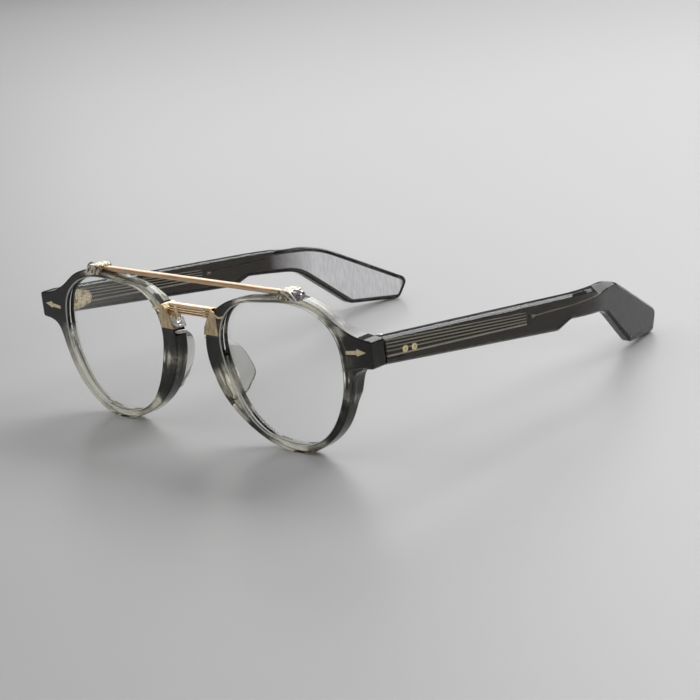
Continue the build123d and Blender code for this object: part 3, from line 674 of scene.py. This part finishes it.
web_y, web_z = BRIDGE_FACE + BRIDGE_WEB_AT[0], BRIDGE_FOOT + BRIDGE_WEB_AT[1]
web = drawn.bake(
    "bridge_web", level_line(BRIDGE_HALF, web_y, web_z), [(0, 1)], worn_gold, Width=BRIDGE_WEB[0],
    Height=BRIDGE_WEB[1], Round=BRIDGE_WEB_ROUND)
fit(web, worn_gold, "front", "gold_metal", "bridge")
for number, (middle, height) in enumerate(BRIDGE_RIBS, 1):
    rib_line = level_line(BRIDGE_HALF, BRIDGE_FACE + RIB_DEPTH / 2, BRIDGE_FOOT + middle)
    rib = drawn.bake(
        "bridge_rib_" + str(number), rib_line, [(0, 1)], pale_gold, soft=RIB_BEVEL,
        Width=RIB_DEPTH, Height=height, Round=RIB_ROUND)
    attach(rib, "front")
for side_name, side in sides():
    collar_line = [(side * x, BRIDGE_FACE + COLLAR_AT, BRIDGE_FOOT + COLLAR_AT) for x in COLLAR]
    collar_size = RIB_DEPTH + COLLAR_LIP * 2
    collar = drawn.bake(
        side_name + "_bridge_collar", collar_line, [(0, 1)], pale_gold, soft=COLLAR_BEVEL,
        Width=collar_size, Height=collar_size, Round=COLLAR_ROUND)
    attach(collar, "front")
    nose = outline[(outline[:, 0] < SHOE_REACH) & (outline[:, 1] > SHOE_FOOT) & (outline[:, 1] < SHOE_TOP)]
    nose = nose - (SHOE_PROUD, 0)
    corners = [(SHOE_REACH, nose[-1, 1]), (SHOE_REACH, nose[0, 1])]
    shoe_line = tiled(np.vstack([nose, corners]))
    shoe = front_plate(side_name + "_nose_shoe", shoe_line, -SHOE_PROUD, SHOE_BACK, SHOE_ROUND, side)
    fit(shoe, worn_gold, "front", "gold_metal", side_name + "_bridge_shoe")
    toe_line = on_front(np.array(TOE), -TOE_PROUD, side)
    toe = round_wire(side_name + "_shoe_toe", toe_line, chain(TOE), ivory_gold, TOE_WIRE)
    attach(toe, "front")
    screw = finished_copy(side_name + "_slotted_screw", side_name + "_shoe_screw", SCREW_EDGE)
    fit(screw, bright_silver, "front", "gold_metal", side_name + "_shoe_screw")
    clasp = wall_plate(side_name + "_shoe_clasp", np.array(CLASP), CLASP_PROUD, CLASP_ROUND, side)
    ledge = wall_plate(side_name + "_shoe_ledge", np.array(LEDGE), LEDGE_PROUD, LEDGE_ROUND, side)
    for piece in (clasp, ledge):
        piece.data.materials.append(bright_silver)
        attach(piece, "front")

# Top bar: a nearly square wire of rose gold with rounded edges, which runs straight from bracket
# to bracket, a little behind the front face.
BAR_HALF = 40.2
BAR_Y = FRONT_Y + 3.5
BAR_Z = 45.9
BAR_HEIGHT = 1.4
BAR_DEPTH = 1.8
BAR_ROUND = 0.3

rose = Finish("rose_gold")
streak = rose.cloud(0.6, 3.0, stretch=(12, 1, 1))
rose_gold = rose.surface(
    rose.blend(rose.rise(streak, 0.3, 0.7), (0.76, 0.54, 0.36, 1), (0.54, 0.36, 0.22, 1)),
    roughness=streak * 0.06 + 0.12, bump=streak, depth=0.003, Metallic=1.0)
bar = drawn.bake(
    "straight_top_bar", [(-BAR_HALF, BAR_Y, BAR_Z), (0, BAR_Y, BAR_Z), (BAR_HALF, BAR_Y, BAR_Z)],
    [(0, 1), (1, 2)], rose_gold, Width=BAR_DEPTH, Height=BAR_HEIGHT, Round=BAR_ROUND)
fit(bar, rose_gold, "front", "gold_metal", "top_bar")

# Brackets: cast saddles of silvery gold with two claws, which grip each rim's top edge and the
# bar's end. A pin goes through bar and bracket, and a dark, domed cap screw closes the outer end.
PIN_U = 39.65
PIN_RADIUS = 0.45
PIN_LENGTH = 4.6
PIN_DOME = 0.1
PIN_PROUD = 0.2
CAP_X = 43.5
CAP_Z = 45.62
CAP_RADIUS = 1.5
CAP_LENGTH = 2.2
CAP_SHANK_SHARE = 1.5
CAP_DOME = 0.9
CLAWS = [
    [(41.2, 46.75), (41.8, 46.3), (43.0, 45.5), (44.1, 44.8), (45.2, 44.2)],
    [(43.0, 46.9), (43.8, 46.6), (44.6, 45.9), (45.3, 45.1), (45.9, 44.4)],
]
CLAW_WIRE = 0.5
CLAW_PROUD = 0.2

headed = Pattern("headed_pin", {
    "Radius": "Float", "Length": "Float", "Dome": "Float", "Turn": "Vector"})
barrel = headed.node("GeometryNodeMeshCylinder", {}, {
    "Vertices": 40, "Side Segments": 2, "Fill Segments": 7, "Radius": headed.size("Radius"),
    "Depth": headed.size("Length") - headed.size("Dome")}, out="Mesh")
spot_at = headed.node("GeometryNodeInputPosition")
apart = headed.node("ShaderNodeSeparateXYZ", {}, {"Vector": spot_at}, out="X")
from_axis = headed.node("ShaderNodeSeparateXYZ", {}, {"Vector": spot_at}, out="Y")
height_at = headed.node("ShaderNodeSeparateXYZ", {}, {"Vector": spot_at}, out="Z")
across_at = (apart * apart + from_axis * from_axis) / (headed.size("Radius") * headed.size("Radius"))
arch = headed.node("ShaderNodeMath", {"operation": "SQRT", "use_clamp": True}, {0: 1.0001 - across_at})
on_top = headed.node("ShaderNodeMath", {"operation": "GREATER_THAN"}, {0: height_at, 1: 0.0})
lift = headed.node("ShaderNodeCombineXYZ", {}, {
    "Z": arch * on_top * headed.size("Dome") - (headed.size("Length") - headed.size("Dome")) / 2})
domed = headed.node("GeometryNodeSetPosition", {}, {"Geometry": barrel, "Offset": lift})
turned = headed.node("FunctionNodeEulerToRotation", {}, {"Euler": headed.size("Turn")})
pins = headed.node("GeometryNodeInstanceOnPoints", {}, {
    "Points": headed.node("GeometryNodeMeshToPoints", {}, {"Mesh": headed.size("Geometry")}),
    "Instance": domed, "Rotation": turned})
headed.end(pins)

cap_look = Finish("dark_polished_steel")
shade = cap_look.cloud(0.8, 2.0)
dark_steel = cap_look.surface(
    cap_look.blend(shade, (0.28, 0.25, 0.27, 1), (0.48, 0.44, 0.46, 1)),
    roughness=shade * 0.08 + 0.10, bump=shade, depth=0.01, Metallic=1.0)

cast = Finish("cast_silver_gold")
pits_and_painted_shade = cast.cloud(0.8, 3.0)
# Its dark blotches fall at random and are painted shade, standing for the saddle's shaded holes.
saddle_metal = cast.surface(
    cast.blend(cast.rise(pits_and_painted_shade, 0.4, 0.6), (0.82, 0.74, 0.56, 1), (0.20, 0.16, 0.10, 1)),
    roughness=pits_and_painted_shade * 0.2 + 0.12, bump=pits_and_painted_shade, depth=0.03, Metallic=0.9)

for side_name, side in sides():
    saddle = finished_copy(side_name + "_bar_saddle", side_name + "_bracket")
    fit(saddle, saddle_metal, "front", "gold_metal", side_name + "_bracket")
    pin_at = on_front(np.array([(PIN_U, BAR_Z)]), -PIN_PROUD, side)
    pin = headed.bake(
        side_name + "_saddle_pin", pin_at, [], dark_steel, turn=(math.pi / 2, 0.0, side * WRAP),
        Radius=PIN_RADIUS, Length=PIN_LENGTH, Dome=PIN_DOME)
    fit(pin, dark_steel, "front", "gold_metal", side_name + "_bar_pin")
    for number, claw_line in enumerate(CLAWS, 1):
        claw = round_wire(
            side_name + "_claw_" + str(number), on_front(np.array(claw_line), -CLAW_PROUD, side),
            chain(claw_line), bright_silver, CLAW_WIRE)
        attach(claw, "front")
    cap_at = [(side * (CAP_X + CAP_LENGTH), BAR_Y, CAP_Z)]
    cap = headed.bake(
        side_name + "_cap", cap_at, [], dark_steel, turn=(0.0, side * math.pi / 2, 0.0),
        Radius=CAP_RADIUS, Length=CAP_LENGTH * CAP_SHANK_SHARE, Dome=CAP_DOME)
    fit(cap, dark_steel, "front", "steel", side_name + "_cap_screw")

# Inlays: small arrows of pale gold, let into the front of each endpiece. They are polished and
# stand just proud of it.
INLAY_EDGE = 0.07

for side_name, side in sides():
    arrow = finished_copy(side_name + "_arrow_inlay", side_name + "_inlay", INLAY_EDGE)
    fit(arrow, ivory_gold, "front", "gold_metal", side_name + "_inlay")

# Hinges: five gold knuckles on an upright steel pin. Three belong to the plate that is anchored
# in the endpiece, and two to the shield that is riveted to the temple's inner face.
HINGE_AT = (66.388, -59.6812)
HINGE_TOP = 34.4
HINGE_EDGE = 0.08
PIN_HEAD = 0.45
PIN_HEAD_RADIUS = 1.15
PIN_HEAD_DOME = 0.15
PIN_SHANK_RADIUS = 0.7
PIN_SHANK = 6.2
PIN_SHANK_DOME = 0.05
RIVET_HEAD = 0.4
RIVET_HEAD_RADIUS = 1.03
RIVET_PROUD = 0.12
RIVET_DOME = RIVET_PROUD * 0.7
RIVET_RADIUS = 0.55
RIVET_SHANK = 3.9
RIVET_SHANK_DOME = 0.1
RIVET_SUNK_END = 0.3
RIVET_EYE = 0.3
RIVET_EYE_RADIUS = 0.42
RIVET_EYE_PROUD = RIVET_PROUD * 0.6
RIVET_EYE_DOME = RIVET_PROUD * 0.4
RIVETS = [("front", -55.8212, 30.42), ("back", -52.3212, 30.05)]
TEMPLE_X = 71.888
TEMPLE_THICKNESS = 3.8

satin = Finish("satin_gold")
brushed = satin.cloud(0.3, 2.0, stretch=(1, 8, 1))
worn = satin.cloud(1.8, 3.0)
satin_gold = satin.surface(
    satin.blend(satin.rise(worn, 0.40, 0.64), (0.93, 0.82, 0.57, 1), (0.42, 0.32, 0.17, 1)),
    roughness=brushed * 0.14 + 0.16, bump=worn, depth=0.05, Metallic=1.0)
brassy = Finish("rivet_brass")
speck = brassy.cloud(0.5, 2.0)
brass = brassy.surface(
    brassy.blend(speck, (0.95, 0.86, 0.50, 1), (0.72, 0.60, 0.28, 1)),
    roughness=speck * 0.1 + 0.22, bump=speck, depth=0.01, Metallic=1.0)

for side_name, side in sides():
    temple_body = side_name + "_temple"
    half = finished_copy(side_name + "_front_knuckles", side_name + "_front_hinge", HINGE_EDGE)
    fit(half, satin_gold, "front", "hinge_metal", side_name + "_front_hinge")
    x, y = side * HINGE_AT[0], HINGE_AT[1]
    head = headed.bake(
        side_name + "_pivot", [(x, y, HINGE_TOP + PIN_HEAD)], [], dark_steel, Radius=PIN_HEAD_RADIUS,
        Length=PIN_HEAD, Dome=PIN_HEAD_DOME)
    shank = headed.bake(
        side_name + "_pivot_shank", [(x, y, HINGE_TOP)], [], dark_steel, Radius=PIN_SHANK_RADIUS,
        Length=PIN_SHANK, Dome=PIN_SHANK_DOME)
    fit(head, dark_steel, "front", "steel", side_name + "_hinge_pin")
    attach(shank, "front")
    plate = finished_copy(side_name + "_riveted_shield", side_name + "_shield", HINGE_EDGE)
    fit(plate, satin_gold, temple_body, "hinge_metal", side_name + "_shield")
    for place, rivet_y, rivet_z in RIVETS:
        node = side_name + "_" + place + "_rivet"
        outwards = (0.0, side * math.pi / 2, 0.0)
        inwards = (0.0, -side * math.pi / 2, 0.0)
        inner_end = TEMPLE_X - TEMPLE_THICKNESS - RIVET_SUNK_END
        rivet = headed.bake(
            node + "_head", [(side * TEMPLE_X, rivet_y, rivet_z)], [], brass, turn=outwards,
            Radius=RIVET_HEAD_RADIUS, Length=RIVET_HEAD, Dome=RIVET_DOME)
        eye = headed.bake(
            node + "_eye", [(side * (TEMPLE_X + RIVET_EYE_PROUD), rivet_y, rivet_z)], [], worn_gold,
            turn=outwards, Radius=RIVET_EYE_RADIUS, Length=RIVET_EYE, Dome=RIVET_EYE_DOME)
        shank = headed.bake(
            node + "_shank", [(side * inner_end, rivet_y, rivet_z)], [], pale_gold, turn=inwards,
            Radius=RIVET_RADIUS, Length=RIVET_SHANK, Dome=RIVET_SHANK_DOME)
        fit(rivet, brass, temple_body, "gold_metal", node)
        for piece in (eye, shank):
            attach(piece, temple_body)

# Cores: flat blades with five polished gold ribs on each face, shot into the temples while these
# are soft. Each ends in an arrowhead and a wire that stiffens the temple's bend.
CORE_FACES = (0.36, 3.42)
CORE_BLADE = (0.5, 3.26)
CORE_LOW_RIB = 0.56
CORE_HIGH_RIBS = 0.36
CORE_RIB_ENDS = [
    ((-62.6, 34.45), (-6.8, 27.3)), ((-62.6, 33.55), (-6.8, 26.45)), ((-62.6, 32.6), (-6.8, 25.6)),
    ((-62.6, 31.5), (-6.8, 24.8)), ((-62.6, 30.05), (-6.8, 23.95)),
]
CORE_ARROW = [(-4.2, 24.85), (-2.3, 25.45), (-4.2, 26.1)]
CORE_WIRE = [(-2.2, 25.4), (4, 25.0), (12, 24.3), (18, 24.0), (24, 23.7), (30, 23.2)]
CORE_WIRE_DEPTH = 0.4
CORE_WIRE_BEND = (11.8, 122)
CORE_WIRE_THICK = 0.32
CORE_WIRE_ROUND = 0.14

# The blade of the gold core is painted near-black: painted shade between the ribs.
sunk = Finish("shadowed_core")
dull = sunk.cloud(1.5, 2.0)
shadowed_core = sunk.surface(
    sunk.blend(dull, (0.030, 0.027, 0.024, 1), (0.060, 0.052, 0.042, 1)),
    roughness=dull * 0.2 + 0.45, bump=dull, depth=0.01, Metallic=0.3)
# The ribs, arrowhead and wire are painted pale cream and barely metallic: a painted glint of the polished
# gold.
bright = Finish("polished_core")
glint = bright.cloud(1.2, 2.0)
polished_core = bright.surface(
    bright.blend(glint, (1.0, 0.95, 0.82, 1), (0.86, 0.76, 0.58, 1)),
    roughness=glint * 0.1 + 0.3, bump=glint, depth=0.01, Metallic=0.2)

for side_name, side in sides():
    temple_body = side_name + "_temple"
    faces_x = [side * (TEMPLE_X - depth) for depth in CORE_FACES]
    low_edge, high_edge = CORE_RIB_ENDS[-1], CORE_RIB_ENDS[0]
    corners = [low_edge[0], low_edge[1], high_edge[1], high_edge[0]]
    rings = [np.array([(side * (TEMPLE_X - depth), y, z) for y, z in corners]) for depth in CORE_BLADE]
    blade = solid(side_name + "_core_blade", *skin(rings, capped=True))
    fit(blade, shadowed_core, temple_body, "gold_metal", side_name + "_core")
    rings = [np.array([(x, y, z) for y, z in CORE_ARROW]) for x in faces_x]
    arrow = solid(side_name + "_core_arrow", *skin(rings, capped=True))
    arrow.data.materials.append(polished_core)
    rows = (("low", CORE_RIB_ENDS[-1:], CORE_LOW_RIB), ("high", CORE_RIB_ENDS[:-1], CORE_HIGH_RIBS))
    ribs = []
    for row_name, row, thick in rows:
        ends = [(x, y, z) for x in faces_x for rib_ends in row for y, z in rib_ends]
        ribs.append(round_wire(
            side_name + "_core_" + row_name + "_ribs", ends, [(i, i + 1) for i in range(0, len(ends), 2)],
            polished_core, thick))
    bend_from, bend_share = CORE_WIRE_BEND
    wire_line = [
        (side * (TEMPLE_X - CORE_WIRE_DEPTH - max(0, y - bend_from) ** 2 / bend_share), y, z)
        for y, z in CORE_WIRE
    ]
    wire = drawn.bake(
        side_name + "_core_wire", wire_line, chain(wire_line), polished_core, Width=CORE_WIRE_THICK,
        Height=CORE_WIRE_THICK, Round=CORE_WIRE_ROUND)
    for piece in (arrow, wire, *ribs):
        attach(piece, temple_body)

# Temples: near-black, still translucent acetate, milled with flat bevels on the outside and
# smaller ones inside, with a facet above the ear. They are bent inwards and polished, and the
# inner faces of their tips are brushed. The pale colour of that brushed skin is a painted reflection.
TEMPLE_Y = -63.2212
TEMPLE_LENGTH = 134.2212
TEMPLE_TOP = 35.6
OUTER_BEVEL = 0.8
INNER_BEVEL = 0.5
BEVEL_EASE = 0.12
EAR_FACET = [(87.5, 0.0), (91.5, 2.0), (104.0, 0.0)]
SATIN_AND_PAINTED_SHEEN_SPAN = [(85.0, 0.0), (101.0, 1.0), (130.6, 1.0), (132.4, 0.0)]
SATIN_EDGE = (1.3, 1.5)
SEAM_REACH = 0.01
BEND_START = 75.0
BEND_RADIUS = 61.0
BEND_ANGLE = math.radians(18)
TEMPLE_CORNERS = [
    ((0.524, 0.510), 2.3), ((0.571, 0.563), 3.0), ((0.711, 0.489), 12.0), ((0.838, 0.062), 3.0),
    ((0.972, 0.000), 2.3), ((1.000, 0.180), 2.3), ((0.768, 0.690), 30.0),
]
TEMPLE_CORNER_STEPS = 12
TEMPLE_ENDS = [(0.0, 0.781), (0.0, 1.0)]
STATIONS = [(0, 62, 32), (62, 104, 64)]
TIP_STATIONS = 48


def bent_in(y, depth):
    """How far outwards the temple lies at some depth under its outer face, seen from above."""
    along, radius = y - BEND_START, BEND_RADIUS - depth
    turn = np.arcsin(np.clip(along / radius, 0, math.sin(BEND_ANGLE)))
    tail = np.maximum(along - radius * math.sin(BEND_ANGLE), 0) * math.tan(BEND_ANGLE)
    return TEMPLE_X - depth - radius * (1 - np.cos(turn)) - tail


ends = spread(TEMPLE_ENDS, (0, 0), (TEMPLE_LENGTH, TEMPLE_TOP))
marks = [ends[0]] + [np.array(at) * (TEMPLE_LENGTH, TEMPLE_TOP) for at, size in TEMPLE_CORNERS] + [ends[1]]
profile = [ends[0]]
for before, corner, after, (at, size) in zip(marks, marks[1:], marks[2:], TEMPLE_CORNERS):
    profile += rounded_corner(before, corner, after, size, TEMPLE_CORNER_STEPS)
profile = np.array(profile + [ends[1]])
tip = int(np.argmax(profile[:, 0]))
foot_line, top_line = profile[:tip + 1], profile[tip:][::-1]
tip_from = STATIONS[-1][1]
stations = np.concatenate([np.linspace(*span)[:-1] for span in STATIONS] + [
    tip_from + (foot_line[-1, 0] - tip_from) * np.sin(np.linspace(0, np.pi / 2, TIP_STATIONS))])
low = np.interp(stations, foot_line[:, 0], foot_line[:, 1])
high = np.interp(stations, top_line[:, 0], top_line[:, 1])
loop = np.vstack([np.stack([stations, low], 1), np.stack([stations, high], 1)[-2::-1]])


def shrunk(line, amount):
    """Moves the temple's outline inwards, but not at the seam."""
    inside = moved_in(line, amount)
    inside[:, 0] = np.where(line[:, 0] < SEAM_REACH, line[:, 0], inside[:, 0])
    inside[0, 1], inside[-1, 1] = line[0, 1] + amount, line[-1, 1] - amount
    return inside


def bevel_levels(bevel, ease=BEVEL_EASE, touch=0.02):
    """How far in and how deep a flat bevel with eased edges goes, from the face to the wall."""
    return [
        (bevel + ease, 0.0), (bevel, touch), (bevel - ease, ease), (ease, bevel - ease), (touch, bevel),
        (0.0, bevel + ease),
    ]


temple_levels = bevel_levels(OUTER_BEVEL)
temple_levels += [(inset, TEMPLE_THICKNESS - depth) for inset, depth in reversed(bevel_levels(INNER_BEVEL))]
temple_levels += [(inset, TEMPLE_THICKNESS) for inset in SATIN_EDGE]

horn = Finish("temple_acetate")
drift = horn.cloud(14.0, 3.0, stretch=(0.6, 3.0, 0.5), turn=(0.15, 0, 0))
fibre = horn.cloud(0.5, 2.0, stretch=(1, 14, 1))
brushing = horn.cloud(0.4, 1.0, stretch=(1, 1, 9))
horn_colour = horn.blend(horn.rise(drift, 0.4, 0.72), (0.84, 0.83, 0.80, 1), (0.98, 0.96, 0.92, 1))
# The tips' brushed skin is pale: real brushed satin, with a painted reflection in its colour.
brushed_and_painted_sheen_colour = horn.blend(horn.rise(brushing, 0.3, 0.7), (0.94, 0.94, 0.96, 1), (0.78, 0.78, 0.80, 1))
temple_acetate = horn.surface(
    horn_colour, roughness=drift * 0.03 + 0.03, bump=fibre, depth=0.0008,
    body=((0.36, 0.32, 0.26, 1), 1350.0), film=(horn.mark("satin") * 0.95, brushed_and_painted_sheen_colour, 0.35),
    Transmission_Weight=1.0, IOR=1.49, Specular_IOR_Level=0.36)

on_top_edge = np.arange(len(loop)) >= len(stations)
facet = np.interp(loop[:, 0], *np.array(EAR_FACET).T) * on_top_edge
bevel_reach = OUTER_BEVEL + BEVEL_EASE
for side_name, side in sides():
    rings, satin_and_painted_sheen_marks = [], []
    for inset, depth in temple_levels:
        inner_half = depth > TEMPLE_THICKNESS / 2
        ring = shrunk(loop, inset)
        if not inner_half:
            ring[:, 1] -= facet * inset / bevel_reach
            depth = depth + facet * depth / bevel_reach
        satin_and_painted_sheen_share = np.interp(ring[:, 0], *np.array(SATIN_AND_PAINTED_SHEEN_SPAN).T)
        satin_and_painted_sheen_marks += list(satin_and_painted_sheen_share * (inner_half and inset > SATIN_EDGE[0]))
        x = side * bent_in(ring[:, 0], depth)
        rings.append(np.stack([x, TEMPLE_Y + ring[:, 0], ring[:, 1]], axis=1))
    points, faces = skin(rings)
    count = len(loop)
    for start in (0, count * (len(rings) - 1)):
        faces += [
            (start + i, start + i + 1, start + count - 2 - i, start + count - 1 - i)
            for i in range(count // 2)
        ]
    arm = solid(side_name + "_bevelled_temple", points, faces, satin=satin_and_painted_sheen_marks)
    fit(arm, temple_acetate, side_name + "_temple", "temple_acetate", side_name + "_temple")

# Floor: a plain, pale sheet with a faint sheen, on which the open spectacles stand. It is large
# enough to fill the view.
FLOOR_SIZE = 6.0

mesh = bpy.data.meshes.new("floor")
half = FLOOR_SIZE / 2
corners = [(-half, -half, 0), (half, -half, 0), (half, half, 0), (-half, half, 0)]
mesh.from_pydata(corners, [], [(0, 1, 2, 3)])
floor = bpy.data.objects.new("floor", mesh)
bpy.context.scene.collection.objects.link(floor)
sheet = Finish("pale_floor")
mesh.materials.append(sheet.surface(
    sheet.blend(sheet.cloud(400.0, 1.0), (0.50, 0.50, 0.50, 1), (0.54, 0.54, 0.54, 1)), roughness=0.42))

# Light: a soft studio sky, brighter overhead, with one softbox above the temples, a wide one low
# behind them, one in front and a small one at the side, the only one that clear acetate shows.
scene = bpy.context.scene
world = bpy.data.worlds.new("studio")
scene.world = world
world.use_nodes = True
world.node_tree.nodes.clear()
sky = Tree(world.node_tree)
direction = sky.node("ShaderNodeTexCoord", out="Generated")
height = sky.node("ShaderNodeSeparateXYZ", {}, {"Vector": direction}, out="Z")
climb = sky.node("ShaderNodeMapRange", {"interpolation_type": "SMOOTHSTEP"}, {
    "Value": height, "From Min": -0.05, "From Max": 0.75})
glow = sky.node("ShaderNodeMix", {"data_type": "RGBA"}, {
    0: climb, 6: (0.08, 0.08, 0.08, 1), 7: (0.44, 0.44, 0.44, 1)}, out=2)
studio = sky.node("ShaderNodeBackground", {}, {"Color": glow, "Strength": 1.0})
sky.node("ShaderNodeOutputWorld", {}, {"Surface": studio})
SOFTBOXES = [
    ("overhead", (-0.02, 0.69, 0.69), (1.1, 0.42), 6.2),
    ("behind", (-0.45, 0.95, 0.38), (1.4, 0.34), 2.6),
    ("front", (-0.75, -0.30, 0.70), (0.5, 0.5), 1.0),
    ("side", (0.90, 0.10, 0.28), (0.3, 0.3), 2.0),
]
for name, place, size, power in SOFTBOXES:
    lamp = bpy.data.lights.new(name, "AREA")
    lamp.shape = "RECTANGLE"
    lamp.size, lamp.size_y = size
    lamp.energy = power
    hung = bpy.data.objects.new(name, lamp)
    hung.visible_camera = False
    hung.visible_transmission = name == "side"
    scene.collection.objects.link(hung)
    aim = Vector(place).to_track_quat("Z", "Y").to_matrix().to_4x4()
    hung.matrix_world = Matrix.Translation(place) @ aim

# Camera: the photograph's own place and lens, slightly rolled. Both were fitted to the outlines of
# the rims, the top bar and the temples, and to the floor.
AZIMUTH, ELEVATION, ROLL = math.radians(46.946), math.radians(15.349), math.radians(-6.841)
CAMERA_AT = (0.502643, -0.478580, 0.197438)
FOCAL_LENGTH = 119.79
back = np.array([
    math.sin(AZIMUTH) * math.cos(ELEVATION), -math.cos(AZIMUTH) * math.cos(ELEVATION), math.sin(ELEVATION)])
right = np.array([math.cos(AZIMUTH), math.sin(AZIMUTH), 0.0])
up = np.cross(back, right)
turned_right = right * math.cos(ROLL) + up * math.sin(ROLL)
turned_up = up * math.cos(ROLL) - right * math.sin(ROLL)
camera = bpy.data.cameras.new("camera")
camera.lens = FOCAL_LENGTH
camera.sensor_width = 36.0
camera.clip_start = 0.01
viewer = bpy.data.objects.new("camera", camera)
scene.collection.objects.link(viewer)
viewer.matrix_world = Matrix(np.vstack([
    np.stack([turned_right, turned_up, back, CAMERA_AT], axis=1), (0, 0, 0, 1)]).tolist())
scene.camera = viewer
scene.view_settings.view_transform = "Standard"
